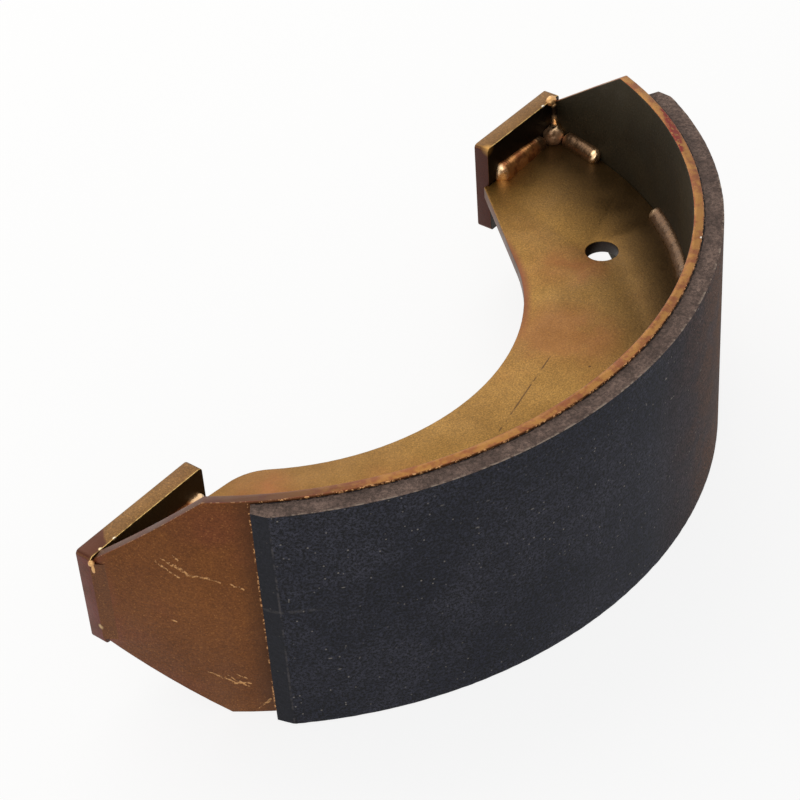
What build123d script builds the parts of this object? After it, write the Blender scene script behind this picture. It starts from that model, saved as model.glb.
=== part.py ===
from build123d import *
import os
from math import asin, cos, degrees, radians, sin, sqrt, tan

# Brake shoe for a 320 x 90 drum, in millimetres.  It lies on one side edge of its table: +Z runs along
# the drum's axis, the lining faces -Y, and both abutment faces look along +Y.
# It is drawn about the drum's axis and moved at the end, so that the origin is the middle of its
# bounding box at the level that it rests on.  Angles run from -Y towards +X, about the drum's axis.

# ---- table: the rolled plate that carries the lining
table_outer_radius = 153.2
table_thickness = 3.6
table_width = 90.5
arc_centre_angle = 6.0         # the table's middle, off the line square to the abutment faces
table_full_half_angle = 62.0   # the table keeps its full width up to here, either side of its middle
table_taper_half_angle = 76.5  # where the taper ends, at the abutment plate
table_end_height = 34.2

# ---- lining: moulded friction material, bonded to the table
lining_thickness = 6.8
lining_width = 89.0
lining_half_angle = 56.5
lining_chamfer_depth = 2.4     # radial
lining_chamfer_length = 5.5    # along the rubbing face

# ---- web: the flat rib inside the table
web_thickness = 5.0
web_inner_radius = 89.6
web_arc_offset = 1.1           # the inner arc's centre, from the drum's axis towards the heel
web_straight_angle = 49.7      # the inner edge leaves its arc here and runs straight to the heel plate
web_toe_rise = 6.4             # slope of the inner edge beside the toe plate, in degrees
web_toe_corner_radius = 20.0
web_toe_land = 1.0             # at least this much of the edge stays straight beside the toe plate
web_toe_step = 3.2             # the nose stands this far past a plate's inward face and locates the plate
web_heel_step = 1.0
web_nose_width = 1.8           # least width of the nose at the heel plate
spring_hole_diameter = 12.0
spring_hole_radius = 122.5     # from the drum's axis to the hole's
spring_hole_angle = 49.9

# ---- abutment plates: the toe's at -X, the heel's at +X
plate_thickness = 6.5
plate_height = 37.5
plate_corner_radius = 1.6
plate_edge_break = 0.3
toe_face_offset = 45.1         # from the drum's axis to the abutment face
toe_plate_length = 52.0
toe_plate_overhang = 1.0       # the toe plate stands this far past the table's outside
heel_face_offset = 12.4
heel_plate_length = 46.8
plate_fit = 0.2                # clearance between a plate's inner end and the web's nose

# ---- weld beads
stitch_leg = 4.5
bead_crown = 0.7               # how far a bead's face swells past a straight fillet
stitch_length = 44.0
stitch_angles = (-42.0, -14.0, 14.0, 42.0)   # middles of the long stitches, from the table's middle
end_stitch_length = 20.0
end_stitch_gap = 7.0           # room left for the bead down the corner of table and plate
plate_bead_leg = 4.2           # on the web
plate_bead_rise = 6.2          # up the plate
plate_bead_margin = 3.0        # the bead stops this far short of the plate's inner end
corner_bead_leg = 2.6
bead_gap = 0.3                 # between two beads that run into the same corner

# ---- derived
table_inner_radius = table_outer_radius - table_thickness
drum_radius = table_outer_radius + lining_thickness
mid_height = table_width / 2
toe_seat = -toe_face_offset - plate_thickness      # y of the toe plate's inward face
heel_seat = -heel_face_offset - plate_thickness
reach = 2 * drum_radius                            # larger than the shoe, for the cutting tools


def at_angle(radius, angle):
    """Point at this distance from the drum's axis, at this angle from -Y."""
    return (radius * sin(radians(angle)), -radius * cos(radians(angle)))


def chord_x(radius, y):
    """Half the width of this circle at height y."""
    return sqrt(radius**2 - y**2)


toe_inner_end = -chord_x(table_outer_radius, toe_seat) - toe_plate_overhang + toe_plate_length
heel_inner_end = chord_x(table_outer_radius, heel_seat) - heel_plate_length


def sector(inner, outer, start, end, bottom, height):
    """Curved block between two radii and two angles."""
    ring = Circle(outer) - Circle(inner)
    wedge = make_face(Polyline((0, 0), at_angle(reach, start), at_angle(reach, (start + end) / 2),
                               at_angle(reach, end), close=True))
    return Pos(0, 0, bottom) * extrude(ring & wedge, height)


def past_seats():
    """Tool that takes away what lies past the inward faces of the two plates."""
    toe = Pos(-reach / 2, toe_seat + reach / 2) * Rectangle(reach, reach)
    heel = Pos(reach / 2, heel_seat + reach / 2) * Rectangle(reach, reach)
    return extrude(toe + heel, table_width)


def taper_tools(side):
    """Tools that cut one end of the table to its taper, one for each edge."""
    middle = arc_centre_angle + side * (table_full_half_angle + table_taper_half_angle) / 2
    half_run = table_outer_radius * sin(radians((table_taper_half_angle - table_full_half_angle) / 2))
    slope = (table_width - table_end_height) / 2 / (2 * half_run)
    far = half_run + table_width                   # runs well past the table's end
    along = Vector(side * cos(radians(middle)), side * sin(radians(middle)), 0)
    outward = Vector(*at_angle(1, middle), 0)
    tools = []
    for edge, way in ((table_width, 1), (0, -1)):
        # drawn along the table's edge and up, seen from outside the arc
        face = Plane(origin=outward * table_outer_radius, x_dir=along, z_dir=along.cross(Vector(0, 0, 1)))
        corner = (-half_run, edge)
        run_out = (far, edge - way * slope * (far + half_run))
        outside = (far, edge + way * table_width)
        start = (-half_run, edge + way * table_width)
        profile = make_face(Polyline(corner, run_out, outside, start, close=True))
        tools.append(extrude(face * profile, amount=table_outer_radius / 4, both=True))
    return tools


def make_table():
    span = (table_taper_half_angle + 90) / 2       # trimmed by the plates' inward faces
    table = sector(table_inner_radius, table_outer_radius, arc_centre_angle - span,
                   arc_centre_angle + span, 0, table_width)
    table -= past_seats()
    for side in (-1, 1):
        for tool in taper_tools(side):
            table -= tool
    return table


def make_lining():
    start = arc_centre_angle - lining_half_angle
    end = arc_centre_angle + lining_half_angle
    bottom = (table_width - lining_width) / 2
    lining = sector(table_outer_radius, drum_radius, start, end, bottom, lining_width)
    run = degrees(lining_chamfer_length / drum_radius)
    low = drum_radius - lining_chamfer_depth
    high = drum_radius + lining_chamfer_depth
    for tip, inward in ((start, 1), (end, -1)):
        wedge = make_face(Polyline(at_angle(low, tip), at_angle(drum_radius, tip + inward * run),
                                   at_angle(high, tip + inward * run), at_angle(high, tip - inward * run),
                                   at_angle(low, tip - inward * run), close=True))
        lining -= Pos(0, 0, bottom) * extrude(wedge, lining_width)
    return lining


def make_web():
    """Flat rib: round outside to the table, an arc inside, and a stepped end at each plate."""
    toe_nose = (toe_inner_end + plate_fit, toe_seat + web_toe_step)
    heel_nose_x = heel_inner_end - plate_fit
    heel_nose_y = heel_seat + web_heel_step
    # the edge beside the toe falls from the nose until it meets the arc
    rise = radians(web_toe_rise)
    from_centre = toe_nose[1] * cos(rise) + (toe_nose[0] - web_arc_offset) * sin(rise)
    meet = asin(from_centre / web_inner_radius) + rise
    toe_corner = (web_arc_offset - web_inner_radius * cos(meet), web_inner_radius * sin(meet))
    heel_tangent = at_angle(web_inner_radius, web_straight_angle)
    heel_tangent = (heel_tangent[0] + web_arc_offset, heel_tangent[1])
    run = (heel_nose_y - heel_tangent[1]) / tan(radians(web_straight_angle))
    heel_low = (min(heel_tangent[0] + run, heel_nose_x - web_nose_width), heel_nose_y)

    hollow = make_face([
        Line(toe_nose, toe_corner),
        ThreePointArc(toe_corner, (web_arc_offset, -web_inner_radius), heel_tangent),
        Line(heel_tangent, heel_low),
        Polyline(heel_low, (heel_low[0], reach), (toe_nose[0], reach), toe_nose),
    ])
    # the rounding is limited by the straight edge: it starts no nearer to the nose than the land
    land = Vector(toe_nose[0] - web_arc_offset + web_toe_land * cos(rise), toe_nose[1] - web_toe_land * sin(rise))
    room = (land.length**2 - web_inner_radius**2) / 2 / (web_inner_radius + from_centre)
    corner = hollow.vertices().sort_by_distance((*toe_corner, 0))[0]
    hollow = fillet(corner, min(web_toe_corner_radius, room))

    toe_seat_cut = Pos(toe_nose[0] - reach / 2, toe_seat + reach / 2) * Rectangle(reach, reach)
    heel_seat_cut = Pos(heel_nose_x + reach / 2, heel_seat + reach / 2) * Rectangle(reach, reach)
    above = Pos(0, heel_nose_y + reach / 2) * Rectangle(2 * reach, reach)
    web = Circle(table_inner_radius) - hollow - toe_seat_cut - heel_seat_cut - above
    web -= Pos(*at_angle(spring_hole_radius, spring_hole_angle)) * Circle(spring_hole_diameter / 2)
    return Pos(0, 0, mid_height - web_thickness / 2) * extrude(web, web_thickness)


def make_plate(length, inner_end, seat, side):
    """Abutment plate with rounded corners, its edges broken round the abutment face."""
    plate = Box(length, plate_thickness, plate_height)
    plate = fillet(plate.edges().filter_by(Axis.Y), plate_corner_radius)
    plate = chamfer(plate.faces().sort_by(Axis.Y)[-1].edges(), plate_edge_break)
    return Pos(inner_end + side * length / 2, seat + plate_thickness / 2, mid_height) * plate


def bead_section(corner, leg_a, leg_b):
    """Section of a fillet bead: the corner it fills, its two legs and a swelling face."""
    corner, leg_a, leg_b = Vector(*corner), Vector(*leg_a), Vector(*leg_b)
    across = leg_a + leg_b
    crown = corner + across / 2 + across.normalized() * bead_crown
    return make_face([Line(corner, corner + leg_a), ThreePointArc(corner + leg_a, crown, corner + leg_b),
                      Line(corner + leg_b, corner)])


def web_face(way):
    """Height of the web's upper face (way 1) or lower face (way -1)."""
    return mid_height + way * web_thickness / 2


def make_web_beads(way):
    """Stitches in the corner of web and table, on one side of the web."""
    section = bead_section((-table_inner_radius, web_face(way)), (stitch_leg, 0), (0, way * stitch_leg))
    spans = []
    for angle in stitch_angles:
        half = degrees(stitch_length / table_inner_radius) / 2
        spans.append((arc_centre_angle + angle - half, arc_centre_angle + angle + half))
    run = degrees(end_stitch_length / table_inner_radius)
    gap = degrees(end_stitch_gap / table_inner_radius)
    toe_corner = -90 + degrees(asin(-toe_seat / table_inner_radius))
    heel_corner = 90 - degrees(asin(-heel_seat / table_inner_radius))
    spans.append((toe_corner + gap, toe_corner + gap + run))
    spans.append((heel_corner - gap - run, heel_corner - gap))
    return [Rot(0, 0, start) * revolve(Plane.YZ * section, Axis.Z, end - start) for start, end in spans]


def make_end_beads(way, seat, inner_end, side):
    """The bead along the plate on the web, and the one in the corner of table and plate above it."""
    level = web_face(way)
    corner_x = side * chord_x(table_inner_radius, seat)
    section = bead_section((seat, level), (-plate_bead_leg, 0), (0, way * plate_bead_rise))
    start = inner_end + side * plate_bead_margin
    end = corner_x - side * (corner_bead_leg + bead_gap)
    along = Pos(start, 0, 0) * extrude(Plane.YZ * section, side * (end - start), dir=(side, 0, 0))

    corner_angle = side * (90 - degrees(asin(-seat / table_inner_radius)))
    step = side * degrees(corner_bead_leg / table_inner_radius)
    down = Vector(*at_angle(table_inner_radius, corner_angle - step)) - Vector(corner_x, seat)
    section = bead_section((corner_x, seat), (-side * corner_bead_leg, 0), (down.X, down.Y))
    height = (table_end_height - web_thickness) / 2
    upright = Pos(0, 0, level) * extrude(section, height, dir=(0, 0, way))
    return [along, upright]


nodes = {
    "table": [make_table()],
    "lining": [make_lining()],
    "web": [make_web()],
    "toe_plate": [make_plate(toe_plate_length, toe_inner_end, toe_seat, -1)],
    "heel_plate": [make_plate(heel_plate_length, heel_inner_end, heel_seat, 1)],
    "web_beads_upper": make_web_beads(1),
    "web_beads_lower": make_web_beads(-1),
    "toe_beads_upper": make_end_beads(1, toe_seat, toe_inner_end, -1),
    "toe_beads_lower": make_end_beads(-1, toe_seat, toe_inner_end, -1),
    "heel_beads_upper": make_end_beads(1, heel_seat, heel_inner_end, 1),
    "heel_beads_lower": make_end_beads(-1, heel_seat, heel_inner_end, 1),
}
box = Compound([solid for solids in nodes.values() for solid in solids]).bounding_box()
home = Pos(-box.center().X, -box.center().Y, -box.min.Z)

os.makedirs("parts", exist_ok=True)
for name, solids in nodes.items():
    export_step(home * Compound(solids), f"parts/{name}.step")
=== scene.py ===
import math

import bpy
from mathutils import Matrix, Vector, noise


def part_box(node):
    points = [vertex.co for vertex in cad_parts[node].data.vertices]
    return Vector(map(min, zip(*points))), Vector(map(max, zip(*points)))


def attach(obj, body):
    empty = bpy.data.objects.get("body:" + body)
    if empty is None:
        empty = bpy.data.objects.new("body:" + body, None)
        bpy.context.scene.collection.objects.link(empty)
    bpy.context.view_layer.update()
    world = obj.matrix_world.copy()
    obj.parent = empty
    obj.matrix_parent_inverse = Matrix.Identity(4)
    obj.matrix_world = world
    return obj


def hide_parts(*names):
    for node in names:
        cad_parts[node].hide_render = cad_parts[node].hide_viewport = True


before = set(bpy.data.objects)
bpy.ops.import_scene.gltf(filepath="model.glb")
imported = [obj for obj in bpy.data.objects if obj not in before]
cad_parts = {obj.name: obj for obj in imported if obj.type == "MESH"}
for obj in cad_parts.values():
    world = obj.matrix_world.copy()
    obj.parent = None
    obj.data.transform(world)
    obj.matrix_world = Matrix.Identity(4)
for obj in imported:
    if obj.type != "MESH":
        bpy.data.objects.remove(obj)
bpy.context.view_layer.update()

# ---- Camera, floor and light
# The shoe lies on a pale bench and is seen from above its toe end.  One broad lamp hangs behind it and to
# its right, a weaker one stands in front, and the bench and the walls are white.
camera_place = Vector((-0.48774, -0.39206, 0.55440))
camera_aim = Vector((-0.05863, -0.01879, 0.09050))
camera_roll = math.radians(-4.483)
camera_lens = 105.76           # millimetres, on a sensor 36 wide
bench_size = 6.0
bench_paint = (0.80, 0.80, 0.79, 1)
bench_shade = (0.79, 0.79, 0.78, 1)
bench_share = 0.32             # how much of what the camera sees of the bench is its own lit paint
bench_white = 0.845
room_level = 0.26              # how strongly the walls light the shoe
# each lamp's name, place, width, power and colour
lamps = (("key_lamp", (0.35, 1.00, 1.10), 1.7, 9.5, (1.0, 0.965, 0.91)),
         ("front_lamp", (-0.95, -0.75, 0.75), 0.9, 2.4, (0.95, 0.97, 1.0)))

away = (camera_place - camera_aim).normalized()
level = Vector((0, 0, 1)).cross(away).normalized()
upright = away.cross(level)
across = math.cos(camera_roll) * level + math.sin(camera_roll) * upright
upward = math.cos(camera_roll) * upright - math.sin(camera_roll) * level
lens = bpy.data.cameras.new("camera")
lens.lens = camera_lens
lens.sensor_width = 36
lens.clip_start = 0.01
camera = bpy.data.objects.new("camera", lens)
camera_turn = Matrix((across, upward, away)).transposed().to_4x4()
camera.matrix_world = Matrix.Translation(camera_place) @ camera_turn
bpy.context.scene.collection.objects.link(camera)
bpy.context.scene.camera = camera
bpy.context.scene.view_settings.view_transform = "Standard"

bpy.ops.object.select_all(action="DESELECT")
bpy.ops.mesh.primitive_plane_add(size=bench_size)
bench = bpy.context.object
bench.name = "bench"


def put(tree, kind, inputs=None, **settings):
    """Adds a node; inputs maps a socket to a value, or to the output that feeds it."""
    made = tree.nodes.new("ShaderNode" + kind)
    for name, value in settings.items():
        setattr(made, name, value)
    for socket, value in (inputs or {}).items():
        if isinstance(value, bpy.types.NodeSocket):
            tree.links.new(value, made.inputs[socket])
        else:
            made.inputs[socket].default_value = value
    return made


def fresh_tree(owner):
    owner.use_nodes = True
    owner.node_tree.nodes.clear()
    return owner.node_tree


def seen_directly(tree):
    """1 for what the camera sees, or sees in a gloss or through glass, and 0 for the light that falls."""
    path = put(tree, "LightPath")
    either = put(tree, "Math", {0: path.outputs["Is Camera Ray"], 1: path.outputs["Is Glossy Ray"]},
                 operation="MAXIMUM")
    return put(tree, "Math", {0: either.outputs[0], 1: path.outputs["Is Transmission Ray"]},
               operation="MAXIMUM").outputs[0]


paint = bpy.data.materials.new("bench_paint")
tree = fresh_tree(paint)
patchy = put(tree, "TexNoise", {"Vector": put(tree, "TexCoord").outputs["Object"],
                                "Scale": 9.0, "Detail": 4.0})
tone = put(tree, "Mix", {0: patchy.outputs[0], 6: bench_shade, 7: bench_paint}, data_type="RGBA")
lit = put(tree, "BsdfDiffuse", {"Color": tone.outputs[2]})
glow = put(tree, "Emission", {"Color": (1, 1, 1, 1), "Strength": bench_white})
thinned = put(tree, "Mix", {0: bench_share, 6: (0, 0, 0, 1), 7: tone.outputs[2]}, data_type="RGBA")
shown = put(tree, "AddShader", {0: put(tree, "BsdfDiffuse", {"Color": thinned.outputs[2]}).outputs[0],
                                1: glow.outputs[0]})
chosen = put(tree, "MixShader", {0: seen_directly(tree), 1: lit.outputs[0], 2: shown.outputs[0]})
put(tree, "OutputMaterial", {0: chosen.outputs[0]})
bench.data.materials.append(paint)

room = bpy.data.worlds.new("room")
bpy.context.scene.world = room
tree = fresh_tree(room)
strength = put(tree, "MapRange", {0: seen_directly(tree), 3: room_level, 4: 1.0})
put(tree, "OutputWorld", {0: put(tree, "Background", {0: (1, 1, 1, 1), 1: strength.outputs[0]}).outputs[0]})

for name, place, size, power, colour in lamps:
    lamp = bpy.data.lights.new(name, "AREA")
    lamp.size, lamp.energy, lamp.color = size, power, colour
    stand = bpy.data.objects.new(name, lamp)
    stand.location = place
    stand.rotation_euler = (Vector(place) - camera_aim).to_track_quat("Z", "Y").to_euler()
    bpy.context.scene.collection.objects.link(stand)

# ---- Table
# The rolled steel plate that carries the lining, tapered at both ends.  Its blanked edges are slightly
# rounded.  Zinc plated and passivated with the rest: brown outside, painted near black inside as shade,
# gold on its edges.
mm = 0.001
drum_axis = Vector((-3.389 * mm, 86.2 * mm, 0))    # the drum's axis, about which the shoe is curved
table_outer = 153.2 * mm
table_inner = 149.6 * mm
table_wide = 90.5 * mm
arc_middle = 6.0               # degrees from -Y to the middle of the table and lining
lining_ends = 56.5             # degrees from there to each end of the lining


def srgb(red, green, blue):
    """A colour as a paint chart gives it, 0 to 255, for a shader."""
    def linear(level):
        level /= 255
        return level / 12.92 if level <= 0.04045 else ((level + 0.055) / 1.055) ** 2.4
    return (linear(red), linear(green), linear(blue), 1)


def only(piece):
    """Makes this the one selected object."""
    bpy.ops.object.select_all(action="DESELECT")
    piece.select_set(True)
    bpy.context.view_layer.objects.active = piece


def modified(piece, kind, **settings):
    """Adds a modifier and applies it."""
    only(piece)
    change = piece.modifiers.new(kind.lower(), kind)
    for name, value in settings.items():
        setattr(change, name, value)
    bpy.ops.object.modifier_apply(modifier=change.name)


def softened(node, name, radius):
    """A node's shape with its sharp edges rounded over by this much, to stand for the node."""
    piece = bpy.data.objects.new(name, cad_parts[node].data.copy())
    bpy.context.scene.collection.objects.link(piece)
    only(piece)
    bpy.ops.object.mode_set(mode="EDIT")
    bpy.ops.mesh.select_all(action="SELECT")
    bpy.ops.mesh.remove_doubles(threshold=1e-6)
    bpy.ops.mesh.dissolve_limited(angle_limit=math.radians(0.5))
    bpy.ops.object.mode_set(mode="OBJECT")
    modified(piece, "BEVEL", width=radius, segments=3, limit_method="ANGLE", angle_limit=math.radians(30))
    bpy.ops.object.shade_smooth_by_angle(angle=math.radians(35))
    piece.data.materials.clear()
    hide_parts(node)
    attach(piece, "root")
    return piece


def about_drum(tree):
    """Where a point is about the drum's axis: the plain vector, its radius, its run along the arc, the
    vector unrolled on the table's outside as run, height and radius, and how far the face looks out."""
    place = put(tree, "Mapping", {0: put(tree, "TexCoord").outputs["Object"], 1: -drum_axis}).outputs[0]
    part = put(tree, "SeparateXYZ", {0: place})
    flat = put(tree, "CombineXYZ", {0: part.outputs[0], 1: part.outputs[1]}).outputs[0]
    radius = put(tree, "VectorMath", {0: flat}, operation="LENGTH").outputs["Value"]
    behind = put(tree, "Math", {0: part.outputs[1], 1: -1.0}, operation="MULTIPLY").outputs[0]
    angle = put(tree, "Math", {0: part.outputs[0], 1: behind}, operation="ARCTAN2").outputs[0]
    run = put(tree, "Math", {0: angle, 1: table_outer}, operation="MULTIPLY").outputs[0]
    unrolled = put(tree, "CombineXYZ", {0: run, 1: part.outputs[2], 2: radius}).outputs[0]
    outward = put(tree, "VectorMath", {0: flat}, operation="NORMALIZE").outputs[0]
    facing = put(tree, "VectorMath", {0: outward, 1: put(tree, "NewGeometry").outputs["Normal"]},
                 operation="DOT_PRODUCT").outputs["Value"]
    return place, radius, run, unrolled, facing


def grain(tree, where, size, detail=3.0, roughness=0.55, twist=0.0):
    """Noise whose blots are about this many metres across."""
    return put(tree, "TexNoise", {"Vector": where, "Scale": 0.5 / size, "Detail": detail,
                                  "Roughness": roughness, "Distortion": twist}).outputs[0]


def ramp(tree, value, low, high, start=0.0, end=1.0):
    """From start to end as the value goes from low to high, where low may be the greater."""
    return put(tree, "MapRange", {0: value, 1: low, 2: high, 3: start, 4: end},
               interpolation_type="SMOOTHSTEP").outputs[0]


def blots(tree, where, size, low, high, start=0.0, end=1.0, detail=3.0, roughness=0.55):
    """From start to end over blots about this many metres across."""
    return ramp(tree, grain(tree, where, size, detail, roughness), low, high, start, end)


def sums(tree, operation, first, second=0.0):
    return put(tree, "Math", {0: first, 1: second}, operation=operation).outputs[0]


def times(tree, first, second):
    return sums(tree, "MULTIPLY", first, second)


def most(tree, first, second):
    return sums(tree, "MAXIMUM", first, second)


def off_from(tree, value, middle):
    """How far a value is from this one, either way."""
    return sums(tree, "ABSOLUTE", sums(tree, "SUBTRACT", value, middle))


def blend(tree, share, under, over, way="MIX"):
    """One colour laid over another by this share."""
    return put(tree, "Mix", {0: share, 6: under, 7: over}, data_type="RGBA", blend_type=way).outputs[2]


def near(tree, where, centre, reach, soft):
    """1 within this distance of a place, fading out over soft."""
    off = put(tree, "VectorMath", {0: where, 1: centre}, operation="DISTANCE").outputs["Value"]
    return ramp(tree, off, reach, reach + soft, 1.0, 0.0)


def scored(tree, where, start, end, width):
    """1 on a line between two places, as wide as this."""
    start, end = Vector(start), Vector(end)
    along = end - start
    from_start = put(tree, "VectorMath", {0: where, 1: start}, operation="SUBTRACT").outputs[0]
    share = put(tree, "VectorMath", {0: from_start, 1: along / along.length_squared},
                operation="DOT_PRODUCT").outputs["Value"]
    share = put(tree, "Clamp", {0: share}).outputs[0]
    foot = put(tree, "VectorMath", {0: along, "Scale": share}, operation="SCALE").outputs[0]
    off = put(tree, "VectorMath", {0: from_start, 1: foot}, operation="DISTANCE").outputs["Value"]
    return ramp(tree, off, width * 0.4, width, 1.0, 0.0)


def finish_shader(tree, colour, metal, roughness, height, depth, shine=0.5):
    """Closes a material: the surface's own shader with its relief."""
    relief = put(tree, "Bump", {"Strength": 1.0, "Distance": depth, "Height": height})
    shader = put(tree, "BsdfPrincipled", {"Base Color": colour, "Metallic": metal, "Roughness": roughness,
                                          "Specular IOR Level": shine, "Normal": relief.outputs[0]})
    put(tree, "OutputMaterial", {0: shader.outputs[0]})


def passivated(tree, where, dark, light, blush, blush_share):
    """The plating's colour: gold from dark to light in clouds, with a rosy bloom and a fine bright grain.
    Also returns its roughness and its relief."""
    dust_share = 0.30
    clouds = grain(tree, where, 18 * mm, 5.0, 0.6)
    colour = blend(tree, ramp(tree, clouds, 0.30, 0.72), dark, light)
    bloom = ramp(tree, grain(tree, where, 26 * mm, 3.0, 0.6, 0.6), 0.50, 0.75, 0.0, blush_share)
    colour = blend(tree, bloom, colour, blush)
    dust = grain(tree, where, 0.28 * mm, 2.0, 0.8)
    dusting = ramp(tree, dust, 0.3, 0.7, 1 - dust_share, 1 + dust_share)
    colour = blend(tree, 1.0, colour, dusting, "MULTIPLY")
    colour = blend(tree, ramp(tree, dust, 0.63, 0.73, 0.0, dust_share), colour, srgb(216, 166, 92))
    roughness = blots(tree, where, 5 * mm, 0.3, 0.7, 0.38, 0.50)
    return colour, roughness, grain(tree, where, 0.6 * mm, 4.0, 0.6)


def arc(angle):
    """How far along the table's outside this many degrees are."""
    return math.radians(angle) * table_outer


def at(angle, height):
    """A place on the table's outside, unrolled, from degrees along the arc and millimetres up."""
    return (arc(angle), height * mm, table_outer)


brown, amber, rose_brown = srgb(104, 60, 27), srgb(120, 72, 33), srgb(120, 66, 52)
table = softened("table", "table_plate", 0.45 * mm)
table_steel = bpy.data.materials.new("table_plating")
tree = fresh_tree(table_steel)
radius, along_arc, unrolled, facing = about_drum(tree)[1:]
colour, roughness, relief = passivated(tree, unrolled, brown, amber, srgb(114, 60, 40), 0.5)
# the toe end's outside is rosier beside its plate
rosy = ramp(tree, along_arc, arc(-67.5), arc(-70.5), 0.0, 0.7)
rosy = times(tree, rosy, blots(tree, unrolled, 6 * mm, 0.35, 0.6, 0.3, 1.0))
colour = blend(tree, rosy, colour, rose_brown)
# painted shade darkens the table beside the lining's ends, with crumbs of bond right along them
from_middle = off_from(tree, along_arc, arc(arc_middle))
beside = ramp(tree, from_middle, arc(lining_ends + 3.1), arc(lining_ends + 0.3), 0.0, 0.6)
colour = blend(tree, beside, colour, srgb(76, 46, 25))
seam = times(tree, ramp(tree, from_middle, arc(lining_ends + 0.43), arc(lining_ends + 0.28)),
             blots(tree, unrolled, 0.6 * mm, 0.53, 0.59, detail=2.0, roughness=0.7))
colour = blend(tree, seam, colour, srgb(214, 158, 104))
# the inside is painted near black as shade, and is duller
inside = ramp(tree, facing, -0.5, -0.7)
inner_painted_shade = blend(tree, blots(tree, unrolled, 12 * mm, 0.3, 0.7), srgb(50, 43, 30), srgb(60, 52, 36))
colour = blend(tree, inside, colour, inner_painted_shade)
roughness = sums(tree, "ADD", roughness, times(tree, inside, 0.2))
# blanked edges: bright gold with rust-red blots, and burnt dark towards the toe
edge = times(tree, ramp(tree, facing, 0.62, 0.42), ramp(tree, facing, -0.62, -0.42))
edge_gold = blend(tree, blots(tree, unrolled, 3.5 * mm, 0.42, 0.62, detail=4.0, roughness=0.7),
                  srgb(160, 112, 56), srgb(132, 78, 46))
toe_side = ramp(tree, along_arc, arc(-30), arc(-52), 0.0, 0.85)
edge_gold = blend(tree, toe_side, edge_gold, srgb(80, 38, 19))
corners = off_from(tree, radius, (table_outer + table_inner) / 2)
corners = times(tree, ramp(tree, corners, 1.1 * mm, 1.6 * mm, 0.0, 0.8),
                blots(tree, unrolled, 5 * mm, 0.40, 0.60))
edge_gold = blend(tree, corners, edge_gold, srgb(138, 66, 38))
# a red stain across the upper edge near the heel
stretched = put(tree, "Mapping", {0: unrolled, 3: (0.6, 0.6, 1)}).outputs[0]
stain = scored(tree, unrolled, (arc(57.6), table_wide, 153.6 * mm), (arc(47.6), table_wide, 149.4 * mm),
               2.6 * mm)
stain = times(tree, stain, blots(tree, stretched, 0.9 * mm, 0.40, 0.50, detail=4.0, roughness=0.7))
edge_gold = blend(tree, stain, edge_gold, srgb(122, 38, 26))
# a bright crumbly line where the plate's outer corner was sheared, beside the bond: a burr, brightened as a
# painted highlight on the rounded corner
burr_and_highlight = times(tree, ramp(tree, radius, table_outer - 0.60 * mm, table_outer - 0.35 * mm),
             blots(tree, unrolled, 0.5 * mm, 0.53, 0.60, detail=2.0, roughness=0.7))
burr_and_highlight = times(tree, burr_and_highlight, ramp(tree, along_arc, arc(-8), arc(-40), 0.2, 0.7))
edge_gold = blend(tree, burr_and_highlight, edge_gold, srgb(206, 158, 108))
chip = near(tree, unrolled, (arc(27.1), table_wide, 153 * mm), 0.3 * mm, 0.5 * mm)
edge_gold = blend(tree, chip, edge_gold, srgb(244, 236, 220))
colour = blend(tree, edge, colour, edge_gold)
# scratches and knocks through to the bright zinc: each one's two ends and its width in millimetres
fraying = put(tree, "TexNoise", {"Vector": unrolled, "Scale": 420.0, "Detail": 3.0}).outputs[1]
frayed = put(tree, "VectorMath", {0: fraying, 1: (1.6 * mm, 1.6 * mm, 0.0), 2: unrolled},
             operation="MULTIPLY_ADD").outputs[0]
scratches = ((at(-62.2, 66.6), at(-59.6, 60.4), 0.40), (at(-61.6, 68.2), at(-59.0, 62.6), 0.36),
             (at(-60.4, 66.4), at(-58.2, 61.4), 0.48), (at(-60.0, 69.4), at(-59.4, 67.6), 0.40),
             (at(-58.8, 61.6), at(-56.0, 60.2), 0.44), (at(-56.4, 60.4), at(-54.9, 58.6), 0.36),
             (at(-53.6, 57.6), at(-52.3, 55.6), 0.44), (at(-57.8, 19.2), at(-54.6, 14.4), 0.36),
             (at(-55.6, 17.6), at(-53.2, 12.9), 0.44), (at(-55.2, 14.6), at(-53.0, 14.2), 0.44),
             (at(-54.6, 18.4), at(-53.4, 16.4), 0.32), (at(-69.3, 39.4), at(-68.8, 38.7), 0.48),
             (at(-61.4, 41.9), at(-60.8, 41.3), 0.44), (at(-52.4, 2.6), at(-50.9, 6.4), 0.44))
worn = None
for start, end, width in scratches:
    line = scored(tree, frayed, start, end, width * mm)
    worn = line if worn is None else most(tree, worn, line)
worn = times(tree, worn, blots(tree, unrolled, 0.6 * mm, 0.43, 0.55, roughness=0.8))
outside = ramp(tree, facing, 0.5, 0.8)
worn = times(tree, worn, outside)
colour = blend(tree, worn, colour, srgb(204, 152, 96))
relief = sums(tree, "SUBTRACT", relief, worn)
metal = ramp(tree, times(tree, edge, toe_side), 0.0, 1.0, 0.8, 0.3)
finish_shader(tree, colour, metal, roughness, relief, 0.10 * mm)
table.data.materials.append(table_steel)

# ---- Web
# The flat rib inside the table, blanked from plate, with a round hole for the return spring.  Satin gold
# plating, browned towards the toe and darkened by the heel's table wall with painted shade, and rosy along
# its inner edge.
mid_height = table_wide / 2    # the middle of the web, and of every piece, above the bench
web_face = 2.5 * mm            # from there to the web's face
hole_place = (93.7 * mm, -78.9 * mm, mid_height)    # the spring hole, from the drum's axis
hole_radius = 6.0 * mm


def on_web(across, forward):
    """A place on the web's upper face, from millimetres along X and Y from the drum's axis."""
    return (across * mm, forward * mm, mid_height + web_face)


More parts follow.
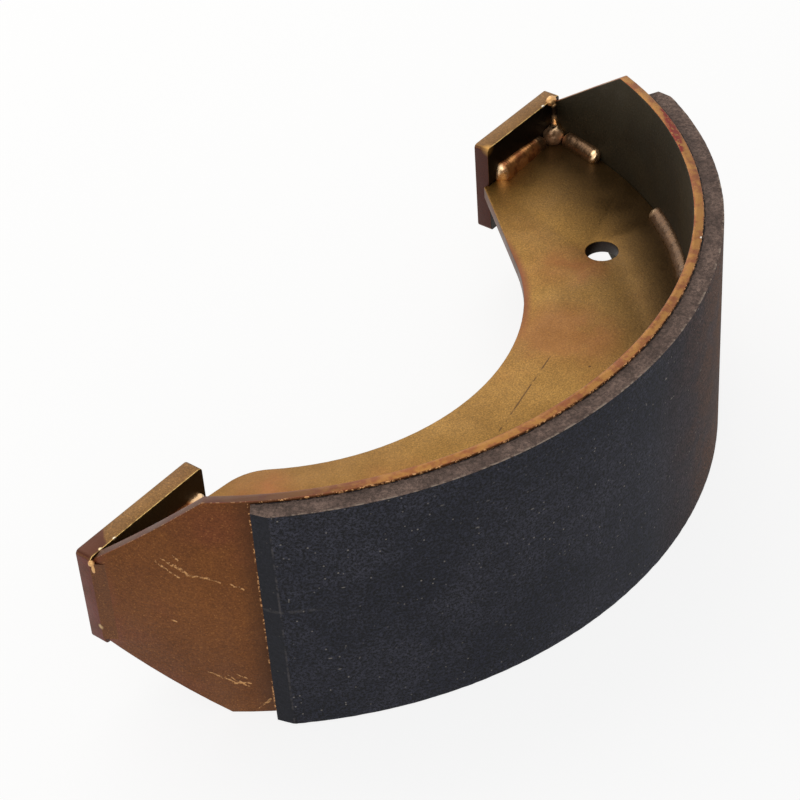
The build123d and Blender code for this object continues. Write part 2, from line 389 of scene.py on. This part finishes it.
web = softened("web", "web_plate", 0.4 * mm)
web_steel = bpy.data.materials.new("web_plating")
tree = fresh_tree(web_steel)
place, radius, along_arc = about_drum(tree)[:3]
colour, roughness, relief = passivated(tree, place, srgb(134, 98, 44), srgb(148, 110, 51),
                                       srgb(140, 88, 44), 0.35)
# browner towards the toe and darkest by the heel's table wall, both painted shade, and rosy along its inner
# edge there
colour = blend(tree, ramp(tree, along_arc, arc(-8), arc(-45), 0.0, 0.6), colour, srgb(116, 80, 36))
heel_wall_shade = times(tree, ramp(tree, radius, 108 * mm, 146 * mm, 0.0, 0.78),
             ramp(tree, along_arc, arc(8), arc(38)))
colour = blend(tree, heel_wall_shade, colour, srgb(62, 46, 29))
rosy = times(tree, ramp(tree, radius, 94.0 * mm, 90.5 * mm),
             ramp(tree, along_arc, arc(15), arc(38), 0.0, 0.9))
colour = blend(tree, rosy, colour, srgb(118, 66, 42))
# rosy drifts: by the hole, across the middle and behind the toe's rim
for centre, reach, soft, share in ((on_web(79.5, -76.0), 5, 12, 0.55), (on_web(45.0, -97.0), 10, 16, 0.40),
                                   (on_web(-78.0, -62.0), 3, 12, 0.6), (on_web(-50.0, -97.0), 4, 14, 0.35)):
    drift = near(tree, place, centre, reach * mm, soft * mm)
    drift = times(tree, drift, blots(tree, place, 7 * mm, 0.35, 0.6, 0.3 * share, share))
    colour = blend(tree, drift, colour, srgb(142, 80, 42))
rim_glow = times(tree, ramp(tree, radius, 141 * mm, 148 * mm), ramp(tree, along_arc, arc(25), arc(-5)))
colour = blend(tree, times(tree, rim_glow, 0.7), colour, srgb(150, 84, 42))
# a hairline rolled into the plate, and two specks of spatter
hair = scored(tree, place, on_web(32.6, -99.2), on_web(-9.6, -108.3), 0.36 * mm)
hair = times(tree, hair, blots(tree, place, 2.5 * mm, 0.42, 0.52))
for centre in (on_web(35.3, -113.7), on_web(-21.3, -106.6)):
    hair = most(tree, hair, near(tree, place, centre, 0.35 * mm, 0.3 * mm))
colour = blend(tree, times(tree, hair, 0.75), colour, srgb(66, 40, 22))
# the blanked edge is brown, and the hole's wall is painted near black as shade
level_face = put(tree, "SeparateXYZ", {0: put(tree, "NewGeometry").outputs["Normal"]}).outputs[2]
level_face = sums(tree, "ABSOLUTE", level_face)
blanked = ramp(tree, level_face, 0.7, 0.4, 0.0, 0.85)
edge_brown = blend(tree, blots(tree, place, 7 * mm, 0.40, 0.60), srgb(92, 60, 30), srgb(98, 50, 30))
colour = blend(tree, blanked, colour, edge_brown)
hole_wall_shade = near(tree, place, hole_place, hole_radius + 0.6 * mm, 0.3 * mm)
hole_wall_shade = times(tree, hole_wall_shade, ramp(tree, level_face, 0.8, 0.5, 0.0, 0.9))
colour = blend(tree, hole_wall_shade, colour, srgb(24, 17, 10))
finish_shader(tree, colour, ramp(tree, blanked, 0.0, 0.85, 0.85, 0.3), roughness, relief, 0.08 * mm)
web.data.materials.append(web_steel)

# ---- Abutment plates
# Two thick rectangular plates, welded across the ends of the table and web: the toe's faces the wheel
# cylinder and the heel's the anchor.  Gold, with plum at the ends that look towards the toe and backs
# painted dark as shade.
plate_top = 64.0               # millimetres above the bench
plate_steel = bpy.data.materials.new("plate_plating")
tree = fresh_tree(plate_steel)
place, radius = about_drum(tree)[:2]
colour, roughness, relief = passivated(tree, place, srgb(110, 78, 42), srgb(128, 93, 51),
                                       srgb(112, 70, 46), 0.35)
# the toe plate's outer third is stained plum
stain = put(tree, "VectorMath", {0: place, 1: (-0.80, 0.60, 0)}, operation="DOT_PRODUCT").outputs["Value"]
stain = sums(tree, "ADD", stain, times(tree, grain(tree, place, 3 * mm), 2.5 * mm))
stain = ramp(tree, stain, 79.5 * mm, 80.8 * mm)
colour = blend(tree, stain, colour, srgb(82, 47, 32))
# the backs are painted dark as shade, the heel's almost black
looks = put(tree, "SeparateXYZ", {0: put(tree, "NewGeometry").outputs["Normal"]})
back = ramp(tree, looks.outputs[1], -0.6, -0.9)
back = times(tree, back, ramp(tree, radius, table_outer, table_outer - 0.6 * mm))
at_toe = ramp(tree, put(tree, "SeparateXYZ", {0: place}).outputs[0], -10 * mm, 10 * mm, 1.0, 0.0)
colour = blend(tree, back, colour, blend(tree, at_toe, srgb(34, 26, 18), srgb(70, 58, 40)))
# the end faces that look towards the toe are plum, with the plating's grain
plum = ramp(tree, looks.outputs[0], -0.5, -0.85)
end_plum = blend(tree, blots(tree, place, 5 * mm, 0.38, 0.62), srgb(106, 43, 24), srgb(98, 46, 20))
end_plum = blend(tree, at_toe, srgb(72, 29, 14), end_plum)
end_plum = blend(tree, 1.0, end_plum,
                 blots(tree, place, 0.28 * mm, 0.3, 0.7, 0.75, 1.25, detail=2.0, roughness=0.8), "MULTIPLY")
colour = blend(tree, plum, colour, end_plum)
# the dressed weld's long face, which looks neither straight out nor straight back, is as brown as the table
dressed = times(tree, ramp(tree, looks.outputs[0], -0.70, -0.78),
                ramp(tree, looks.outputs[0], -0.97, -0.92))
dressed_brown = passivated(tree, place, brown, amber, rose_brown, 0.8)[0]
colour = blend(tree, dressed, colour, dressed_brown)
# a painted highlight along the front corners of the upper edges
edge_highlight = times(tree, ramp(tree, looks.outputs[2], 0.1, 0.3), ramp(tree, looks.outputs[1], -0.1, -0.3))
edge_highlight = times(tree, edge_highlight, blots(tree, place, 2.0 * mm, 0.36, 0.54, 0.2, 1.0, roughness=0.7))
colour = blend(tree, edge_highlight, colour, srgb(250, 208, 130))
# painted highlights on the corners: where, how far, how soft, how much, and the colour
for centre, reach, soft, share, tone in (((106.0, -18.9, plate_top), 0.4, 3.6, 0.75, (206, 156, 84)),
                                         ((141.6, -18.9, plate_top), 0.5, 0.5, 1.0, (240, 230, 210)),
                                         ((-134.0, -51.7, plate_top), 0.4, 0.5, 1.0, (240, 226, 196)),
                                         ((-140.1, -51.4, plate_top), 0.4, 0.5, 1.0, (232, 206, 160)),
                                         ((-145.3, -50.6, 34), 0.4, 0.9, 0.8, (232, 196, 140))):
    corner_highlight = near(tree, place, [value * mm for value in centre], reach * mm, soft * mm)
    colour = blend(tree, times(tree, corner_highlight, share), colour, srgb(*tone))
finish_shader(tree, colour, ramp(tree, plum, 0.0, 1.0, 0.8, 0.5), roughness, relief, 0.10 * mm)
for node in ("toe_plate", "heel_plate"):
    plate = softened(node, node + "_forged", 0.3 * mm)
    if node == "toe_plate":
        # the weld between its outer end and the table's outside, dressed flush
        fill_from, fill_to = Vector((-145.45, -51.1, 0)) * mm, Vector((-142.75, -55.5, 0)) * mm
        fill_thick, fill_tall = 0.5 * mm, 32.5 * mm
        fill_run = fill_to - fill_from
        fill_out = Vector((-fill_run.y, fill_run.x, 0)).normalized()
        fill_middle = (fill_from + fill_to) / 2 + fill_out * fill_thick / 2 + Vector((0, 0, mid_height))
        bpy.ops.object.select_all(action="DESELECT")
        bpy.ops.mesh.primitive_cube_add(size=1, location=drum_axis + fill_middle,
                                        rotation=(0, 0, math.atan2(fill_run.y, fill_run.x)),
                                        scale=(fill_run.length, fill_thick, fill_tall))
        bpy.ops.object.transform_apply(location=True, rotation=True, scale=True)
        plate.select_set(True)
        bpy.context.view_layer.objects.active = plate
        bpy.ops.object.join()
    plate.data.materials.append(plate_steel)

# ---- Weld beads
# Fillet beads laid by hand with wire: stitches that hold the web to the table, one along each plate on
# both sides of the web, and one up each corner of plate and table.  Rippled, with bright rounded ends.
stitch_length = 44 * mm
stitch_middles = (-42.0, -14.0, 14.0, 42.0)    # degrees from the middle of the table
short_length = 20 * mm         # the stitch beside each plate
short_from_corner = 17 * mm    # from the corner of plate and table to its middle
tall_length = 15.5 * mm        # the bead up that corner
ripple_pitch = 1.5 * mm
# where the weld is bare, with a painted highlight on it: its place from the drum's axis, with its height
# over or under the web's middle, then how far, how soft and how much
bare_ends_and_highlights = (((109.6, -20.4, 7.4), 1.7, 2.0, 1.0), ((110.0, -22.2, 4.6), 1.6, 2.0, 1.0),
             ((-95.2, -53.6, 9.0), 1.8, 3.0, 1.0), ((-98.4, -53.2, 9.6), 1.4, 2.4, 0.8),
             ((140.4, -43.8, 6.0), 0.9, 2.0, 1.0), ((139.0, -43.8, 4.0), 0.8, 1.6, 0.8),
             ((-127.1, -74.9, 5.6), 1.2, 2.2, 0.9), ((122.6, -81.6, 4.6), 1.2, 2.4, 0.35))


def lay_bead(name, length, half_width, crown, seed, rounded=2.6 * mm, thinned=0.0):
    """A straight bead along X, its back on the origin's level: a rod drawn out ring by ring, each ring
    swelling and leaning as the puddle froze.  It starts thinner by the share thinned."""
    step = 0.42 * mm
    rings = round(length / step)
    bpy.ops.object.select_all(action="DESELECT")
    bpy.ops.mesh.primitive_circle_add(vertices=20, radius=1, location=(-length / 2, 0, 0),
                                      rotation=(0, math.pi / 2, 0), fill_type="NGON")
    bead = bpy.context.object
    bead.name = name
    bead.scale = (crown, half_width, 1)
    bpy.ops.object.transform_apply(location=True, rotation=True, scale=True)
    bpy.ops.object.mode_set(mode="EDIT")
    bpy.ops.mesh.select_all(action="SELECT")
    size = 1.0
    for ring in range(rings + 1):
        run = min(ring, rings - ring) * step
        end = math.sqrt(max(1 - (1 - min(run / rounded, 1)) ** 2, 0.02))
        ripple = 1 + 0.03 * abs(math.sin(math.pi * ring * step / ripple_pitch))
        swell = 1 + 0.10 * noise.noise(Vector((ring * step / (5 * mm), seed, 0)))
        wanted = end * ripple * swell * (1 - thinned * (1 - ring / rings))
        if ring:
            bpy.ops.mesh.extrude_region_move(TRANSFORM_OT_translate={"value": (step, 0, 0)})
        place = (-length / 2 + ring * step, 0, 0)
        bpy.ops.transform.resize(value=(1, wanted / size, wanted / size), center_override=place)
        size = wanted
    bpy.ops.mesh.select_all(action="SELECT")
    bpy.ops.mesh.normals_make_consistent(inside=False)
    bpy.ops.object.mode_set(mode="OBJECT")
    lump = bpy.data.textures.new(name + "_lumps", "CLOUDS")
    lump.noise_scale = 1.8 * mm
    modified(bead, "DISPLACE", texture=lump, texture_coords="LOCAL", strength=0.35 * mm, mid_level=0.5)
    # the ripples sag backwards in the middle of the bead
    for point in bead.data.vertices:
        point.co.x -= 0.3 * max(point.co.z, 0) ** 2 / crown
    return bead


def drop(name, centre, sizes, lumps=0.4 * mm):
    """A lump of weld, as wide as sizes, about a place from the drum's axis, all in millimetres."""
    bpy.ops.object.select_all(action="DESELECT")
    bpy.ops.mesh.primitive_ico_sphere_add(subdivisions=4, radius=1,
                                          location=drum_axis + Vector(centre) * mm,
                                          scale=[value * mm / 2 for value in sizes])
    lump = bpy.context.object
    lump.name = name
    bpy.ops.object.transform_apply(location=True, rotation=True, scale=True)
    clouds = bpy.data.textures.new(name + "_lumps", "CLOUDS")
    clouds.noise_scale = 3.2 * mm
    modified(lump, "DISPLACE", texture=clouds, texture_coords="LOCAL", strength=lumps, mid_level=0.5)
    return lump


def placed(bead, name, matrix):
    """A copy of a bead with its own mesh, put in its place there."""
    copy = bpy.data.objects.new(name, bead.data.copy())
    bpy.context.scene.collection.objects.link(copy)
    copy.data.transform(matrix)
    return copy


def joined(name, parts, node, material):
    """Makes one piece of several beads, to stand for a node."""
    bpy.ops.object.select_all(action="DESELECT")
    for part in parts:
        part.select_set(True)
    bpy.context.view_layer.objects.active = parts[0]
    bpy.ops.object.join()
    piece = bpy.context.object
    piece.name = name
    bpy.ops.object.shade_smooth()
    piece.data.materials.clear()
    piece.data.materials.append(material)
    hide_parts(node)
    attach(piece, "root")
    return piece


def in_corner(place, along, first, second, sink):
    """Puts a bead's back into a corner: X runs along it, and its crown leans between the two walls, given
    by the directions that they run in from the corner."""
    out = (Vector(first) + Vector(second)).normalized()
    along = Vector(along).normalized()
    side = out.cross(along)
    turn = Matrix((along, side, out)).transposed().to_4x4()
    return Matrix.Translation(Vector(place) + out * sink) @ turn


weld = bpy.data.materials.new("weld_bead")
tree = fresh_tree(weld)
place, radius = about_drum(tree)[:2]
colour, roughness, relief = passivated(tree, place, srgb(98, 72, 48), srgb(132, 98, 66),
                                       srgb(134, 88, 60), 0.4)
# along the plates they are coppery, the heel's lump is paler, and the heel's corner runs are painted black
# as shade
coppery = ramp(tree, radius, 138 * mm, 134 * mm, 0.0, 0.9)
copper = blend(tree, blots(tree, place, 2.4 * mm, 0.38, 0.62, roughness=0.6),
               srgb(176, 104, 58), srgb(240, 166, 98))
colour = blend(tree, coppery, colour, copper)
pale = near(tree, place, (146 * mm, -21 * mm, 50 * mm), 4.0 * mm, 3.0 * mm)
colour = blend(tree, pale, colour, srgb(234, 182, 138))
apart = put(tree, "SeparateXYZ", {0: place})
over_web = off_from(tree, apart.outputs[2], mid_height)
corner_run_shade = times(tree, ramp(tree, over_web, 8.5 * mm, 10 * mm), ramp(tree, radius, 145 * mm, 147 * mm))
corner_run_shade = times(tree, corner_run_shade, ramp(tree, apart.outputs[0], 0.0, 10 * mm))
colour = blend(tree, corner_run_shade, colour, srgb(40, 30, 21))
# free ends and splashes are bare and bright, partly as painted highlight, and a painted highlight streaks
# the heel's lump; all with ragged limits, alike on both sides of the web
both_sides = put(tree, "CombineXYZ", {0: apart.outputs[0], 1: apart.outputs[1], 2: over_web}).outputs[0]
ragged = put(tree, "TexNoise", {"Vector": place, "Scale": 500.0}).outputs[1]
ragged = put(tree, "VectorMath", {0: ragged, 1: (-0.5, -0.5, -0.5)}, operation="ADD").outputs[0]
both_sides = put(tree, "VectorMath", {0: ragged, 1: (3 * mm, 3 * mm, 3 * mm), 2: both_sides},
                 operation="MULTIPLY_ADD").outputs[0]
heel_lump_highlight = Vector((145.6, -21.6, 9.0)) * mm, Vector((148.2, -24.6, 5.6)) * mm
bright = times(tree, scored(tree, both_sides, *heel_lump_highlight, 4.2 * mm), 0.9)
for centre, reach, soft, share in bare_ends_and_highlights:
    tip = near(tree, both_sides, [value * mm for value in centre], reach * mm, soft * mm)
    bright = most(tree, bright, times(tree, tip, share))
colour = blend(tree, bright, colour, srgb(255, 216, 168))
golden = near(tree, place, (146.4 * mm, -18.8 * mm, 64.4 * mm), 1.8 * mm, 2.2 * mm)
golden = most(tree, golden, near(tree, place, (-144.9 * mm, -51.6 * mm, 60.4 * mm), 2.6 * mm, 1.6 * mm))
colour = blend(tree, golden, colour, srgb(236, 182, 118))
polished = most(tree, bright, times(tree, coppery, 0.5))
roughness = times(tree, roughness, ramp(tree, bright, 0.0, 1.0, 0.75, 0.5))
finish_shader(tree, colour, ramp(tree, polished, 0.0, 1.0, 0.6, 1.0), roughness, relief, 0.12 * mm)

# each plate's side of the shoe, the Y of its back from the drum's axis, the X of its inner end, where its
# bead starts from that end and stops from the corner, and the bead's leg over the web and rise up the plate
plates = {"toe": (-1, -51.6 * mm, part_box("toe_plate")[1].x, 1.0 * mm, 5.0 * mm, 4.6 * mm, 8.0 * mm),
          "heel": (1, -18.9 * mm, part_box("heel_plate")[0].x, 4.6 * mm, 8.0 * mm, 4.2 * mm, 6.2 * mm)}
long_stitch = lay_bead("long_stitch", stitch_length, 3.0 * mm, 1.9 * mm, 0.5)
short_stitch = lay_bead("short_stitch", short_length, 3.3 * mm, 2.3 * mm, 2.5)


def spot(angle, radius, height):
    """A place given about the drum's axis."""
    turn = math.radians(angle)
    return drum_axis + Vector((radius * math.sin(turn), -radius * math.cos(turn), height))


for way, side in ((1, "upper"), (-1, "lower")):
    level = mid_height + way * web_face
    stitches = []
    spans = [(arc_middle + middle, long_stitch, stitch_length) for middle in stitch_middles]
    for hand, seat, *_ in plates.values():
        corner = 90 - math.degrees(math.asin(-seat / table_inner))
        back_from_it = math.degrees(short_from_corner / table_inner)
        spans.append((hand * (corner - back_from_it), short_stitch, short_length))
    for angle, bead, length in spans:
        turn = math.radians(angle)
        inward = Vector((-math.sin(turn), math.cos(turn), 0))
        along = Vector((math.cos(turn), math.sin(turn), 0))
        matrix = in_corner(spot(angle, table_inner, level), along, inward, (0, 0, way), 2.1 * mm)
        piece = placed(bead, "stitch", matrix)
        # follow the table's curve: each point slides towards the drum's axis by its rise on the arc
        for point in piece.data.vertices:
            run = (point.co - spot(angle, table_inner, level)).dot(along)
            point.co += inward * (table_inner - math.sqrt(table_inner**2 - run**2))
        stitches.append(piece)
    joined("web_beads_" + side + "_laid", stitches, "web_beads_" + side, weld)
    for end, (hand, seat, inner_end, starts, stops, leg, rise) in plates.items():
        corner_x = drum_axis.x + hand * math.sqrt(table_inner**2 - seat**2)
        seat_y = drum_axis.y + seat
        start = inner_end + hand * starts
        stop = corner_x - hand * stops
        length = abs(stop - start)
        # it lies square in its corner: as high up the plate as its rise, as far over the web as its leg
        flat = lay_bead("plate_bead", length, rise, leg, way + hand * 3.0, thinned=0.30)
        flat_place = Matrix.Translation(((start + stop) / 2, seat_y, level)) @ Matrix(
            ((-hand, 0, 0), (0, 0, -hand), (0, -1, 0))).transposed().to_4x4()
        tall = lay_bead("corner_bead", tall_length, 1.4 * mm, 1.1 * mm, 7.0 + way + hand, rounded=1.2 * mm)
        tall_place = in_corner((corner_x, seat_y, level + way * 7.0 * mm), (0, 0, way), (-hand, 0, 0),
                               (0, -1, 0), 0.7 * mm)
        parts = [placed(flat, "flat", flat_place), placed(tall, "tall", tall_place)]
        # the lump where three beads meet, and the splashes at the outer corners of the upper side
        corner = (Vector((corner_x, seat_y, level)) - drum_axis) / mm
        lump_place = corner + Vector((-3.1 * hand, -2.2, 2.2 * way))
        parts.append(drop("lump", lump_place, (10.6, 8.6, 8.8), 1.8 * mm))
        if way > 0 and end == "heel":
            parts.append(drop("splash", (146.6, -18.9, 63.8), (5.0, 3.8, 3.6)))
        if way > 0 and end == "toe":
            parts.append(drop("splash", (-144.9, -51.6, 61.8), (2.2, 2.2, 2.2)))
            parts.append(drop("splash_tail", (-144.7, -51.8, 59.4), (1.2, 1.4, 4.0), 0.3 * mm))
        bpy.data.objects.remove(flat)
        bpy.data.objects.remove(tall)
        joined(end + "_beads_" + side + "_laid", parts, end + "_beads_" + side, weld)
bpy.data.objects.remove(long_stitch)
bpy.data.objects.remove(short_stitch)

# ---- Lining
# A curved block of moulded friction material, ground to the drum's radius, its ends chamfered, and bonded
# to the table.  Charcoal with pale fibres and chips, browner and coarser on its sawn sides.
lining_thick = 6.8 * mm
lining_wide = 89.0 * mm
lining_half = math.radians(lining_ends)
lining_steps = 158
chamfer_depth = 2.4 * mm
chamfer_run = 5.5 * mm


def choose(piece, kind, test):
    """In edit mode, selects the faces or points that pass the test, and nothing else."""
    bpy.ops.mesh.select_mode(type={"vertices": "VERT", "polygons": "FACE"}[kind])
    bpy.ops.mesh.select_all(action="DESELECT")
    bpy.ops.object.mode_set(mode="OBJECT")
    for item in getattr(piece.data, kind):
        item.select = test(item)
    bpy.ops.object.mode_set(mode="EDIT")


# half of it is spun from its square end, and the other half is its mirror image
bpy.ops.object.select_all(action="DESELECT")
bpy.ops.mesh.primitive_grid_add(x_subdivisions=8, y_subdivisions=90, size=1,
                                location=(0, -table_outer - lining_thick / 2, mid_height),
                                rotation=(math.pi / 2, 0, math.pi / 2))
lining = bpy.context.object
lining.name = "lining_block"
lining.scale = (lining_thick, lining_wide, 1)
bpy.ops.object.transform_apply(location=True, rotation=True, scale=True)
bpy.ops.object.mode_set(mode="EDIT")
bpy.ops.mesh.select_all(action="SELECT")
bpy.ops.mesh.spin(steps=lining_steps, angle=lining_half, center=(0, 0, 0), axis=(0, 0, 1))
bpy.ops.object.mode_set(mode="OBJECT")
# which way it was spun
hand = 1 if max(point.co.x for point in lining.data.vertices) > 10 * mm else -1
# thin its first rings down to the chamfer
bpy.ops.object.mode_set(mode="EDIT")
for ring in range(6):
    turn = ring * lining_half / lining_steps
    run = turn * (table_outer + lining_thick)
    if run > chamfer_run:
        break
    keep = 1 - chamfer_depth / lining_thick * (1 - run / chamfer_run)
    choose(lining, "vertices", lambda point: abs(math.atan2(hand * point.co.x, -point.co.y) - turn) < 1e-4)
    bpy.ops.transform.resize(value=(1, keep, 1), center_override=(0, -table_outer * math.cos(turn), 0))
# open the middle, where the halves meet
middle = Vector((hand * math.cos(lining_half), math.sin(lining_half), 0))
choose(lining, "polygons", lambda face: face.normal.dot(middle) > 0.99
       and abs(math.atan2(hand * face.center.x, -face.center.y) - lining_half) < 1e-3)
bpy.ops.mesh.delete(type="FACE")
bpy.ops.mesh.select_all(action="SELECT")
bpy.ops.mesh.remove_doubles(threshold=1e-6)
bpy.ops.object.mode_set(mode="OBJECT")
lining.rotation_euler = (0, 0, -hand * lining_half)
bpy.ops.object.transform_apply(location=True, rotation=True, scale=True)
modified(lining, "MIRROR", use_axis=(True, False, False), use_clip=True, merge_threshold=1e-5)
lining.rotation_euler = (0, 0, math.radians(arc_middle))
lining.location = drum_axis
bpy.ops.object.transform_apply(location=True, rotation=True, scale=True)
bpy.ops.object.mode_set(mode="EDIT")
bpy.ops.mesh.select_all(action="SELECT")
bpy.ops.mesh.normals_make_consistent(inside=False)
bpy.ops.object.mode_set(mode="OBJECT")
# crumbs on both sides, and chips along the edges of the face
worn_edge = lining.vertex_groups.new(name="edges")
open_side = lining.vertex_groups.new(name="sides")
for point in lining.data.vertices:
    off = point.co - drum_axis
    radius = math.hypot(off.x, off.y)
    rim = abs(abs(off.z - mid_height) - lining_wide / 2) < 0.1 * mm
    if rim and radius > table_outer + 0.1 * mm:
        open_side.add([point.index], 1.0, "REPLACE")
    if rim and radius > table_outer + lining_thick - 0.2 * mm:
        worn_edge.add([point.index], 1.0, "REPLACE")
crumbs = bpy.data.textures.new("crumbs", "CLOUDS")
crumbs.noise_scale = 2.4 * mm
crumbs.noise_depth = 3
modified(lining, "DISPLACE", texture=crumbs, texture_coords="LOCAL", strength=0.08 * mm, mid_level=0.8,
         vertex_group="sides")
chips = bpy.data.textures.new("chips", "CLOUDS")
chips.noise_scale = 3.5 * mm
chips.noise_depth = 2
chips.contrast = 2.5
modified(lining, "DISPLACE", texture=chips, texture_coords="LOCAL", strength=0.10 * mm, mid_level=1.0,
         vertex_group="edges")
bpy.ops.object.shade_smooth_by_angle(angle=math.radians(40))


def flecks(tree, where, spacing, size, share):
    """Pale fibres and chips: one to a cell, in this share of the cells."""
    cells = put(tree, "TexVoronoi", {"Vector": where, "Scale": 1 / spacing})
    chance = put(tree, "SeparateColor", {0: cells.outputs["Color"]}).outputs[0]
    return times(tree, ramp(tree, cells.outputs["Distance"], size / spacing, 0.5 * size / spacing),
                 sums(tree, "LESS_THAN", chance, share))


lining_grit = bpy.data.materials.new("friction_compound")
tree = fresh_tree(lining_grit)
radius, along_arc, unrolled, facing = about_drum(tree)[1:]
charcoal = blots(tree, unrolled, 16 * mm, 0.35, 0.68, detail=6.0, roughness=0.7)
colour = blend(tree, charcoal, srgb(35, 36, 45), srgb(55, 55, 64))
# from its middle towards the heel the face is glazed brown in patches, and at the heel a painted warm sheen
# browns it all over
glaze = ramp(tree, along_arc, arc(0), arc(28), 0.0, 0.8)
glaze = times(tree, glaze, blots(tree, unrolled, 9 * mm, 0.40, 0.58, 0.55, 1.0, detail=4.0, roughness=0.7))
colour = blend(tree, glaze, colour, srgb(100, 66, 42))
# painted sheen: the heel end turned warm brown, as where light glances off it
colour = blend(tree, ramp(tree, along_arc, arc(36), arc(50), 0.0, 0.9), colour, srgb(162, 108, 60))
# the grit, smoother where it is glazed
grit = grain(tree, unrolled, 0.46 * mm, 3.0, 0.85)
sand = times(tree, ramp(tree, grit, 0.39, 0.61, 0.0, 2.0),
             blots(tree, unrolled, 1.1 * mm, 0.3, 0.7, 0.7, 1.3))
smoother = ramp(tree, along_arc, arc(10), arc(40), 1.0, 0.6)
colour = blend(tree, smoother, colour, sand, "MULTIPLY")
# pale chips, and fibres drawn out along the lay
drawn_out = put(tree, "Mapping", {0: unrolled, 2: (0, 0, math.radians(35)), 3: (0.45, 1.2, 1)}).outputs[0]
pale = most(tree, flecks(tree, unrolled, 1.9 * mm, 0.36 * mm, 0.30),
            flecks(tree, drawn_out, 4.5 * mm, 0.38 * mm, 0.22))
patchy = blots(tree, unrolled, 22 * mm, 0.42, 0.62, 0.25, 1.0)
colour = blend(tree, times(tree, pale, patchy), colour, srgb(176, 168, 160))
# the chamfers were cut clean and are blacker, with a pale broken line where they start
from_middle = off_from(tree, along_arc, arc(arc_middle))
chamfered = ramp(tree, from_middle, arc(54.3), arc(54.7))
colour = blend(tree, times(tree, chamfered, 0.8), colour, srgb(27, 28, 34))
ridge = ramp(tree, off_from(tree, from_middle, arc(54.53)), 0.45 * mm, 0.15 * mm)
ridge = times(tree, ridge, blots(tree, unrolled, 1.2 * mm, 0.44, 0.62, 0.0, 0.5, roughness=0.7))
colour = blend(tree, ridge, colour, srgb(112, 106, 106))
# a faint scrape near the toe's end
height = put(tree, "SeparateXYZ", {0: unrolled}).outputs[1]
scrape = times(tree, ramp(tree, off_from(tree, height, 50.3 * mm), 0.9 * mm, 0.2 * mm),
               ramp(tree, along_arc, arc(-42.5), arc(-45.5), 0.0, 0.16))
scrape = times(tree, scrape, blots(tree, unrolled, 1.2 * mm, 0.42, 0.56))
colour = blend(tree, scrape, colour, srgb(150, 144, 142))
# the sawn sides are brown and mottled, darker beside the bond and crumbly at the worn edge
side = ramp(tree, facing, 0.7, 0.4)
mottle = blots(tree, unrolled, 4.5 * mm, 0.32, 0.66, roughness=0.6)
sawn = blend(tree, mottle, srgb(98, 80, 72), srgb(132, 110, 99))
by_bond = ramp(tree, radius, table_outer + 1.2 * mm, table_outer + 3.4 * mm, 0.35, 0.0)
sawn = blend(tree, by_bond, sawn, srgb(66, 54, 49))
sawn = blend(tree, 0.45, sawn, sand, "MULTIPLY")
crumbly = times(tree, ramp(tree, radius, 159.0 * mm, 159.8 * mm),
                blots(tree, unrolled, 1.2 * mm, 0.5, 0.6))
sawn = blend(tree, crumbly, sawn, srgb(180, 160, 144))
colour = blend(tree, side, colour, sawn)
# the bond: dark adhesive squeezed out here and there along the table
bond = times(tree, ramp(tree, radius, table_outer + 0.7 * mm, table_outer + 0.3 * mm),
             blots(tree, unrolled, 1.1 * mm, 0.42, 0.50, detail=2.0, roughness=0.6))
colour = blend(tree, bond, colour, srgb(16, 12, 12))
relief = sums(tree, "ADD", grain(tree, unrolled, 0.8 * mm, 5.0, 0.7), times(tree, pale, 0.3))
finish_shader(tree, colour, 0.0, 0.82, relief, 0.35 * mm, 0.35)
lining.data.materials.append(lining_grit)
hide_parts("lining")
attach(lining, "root")
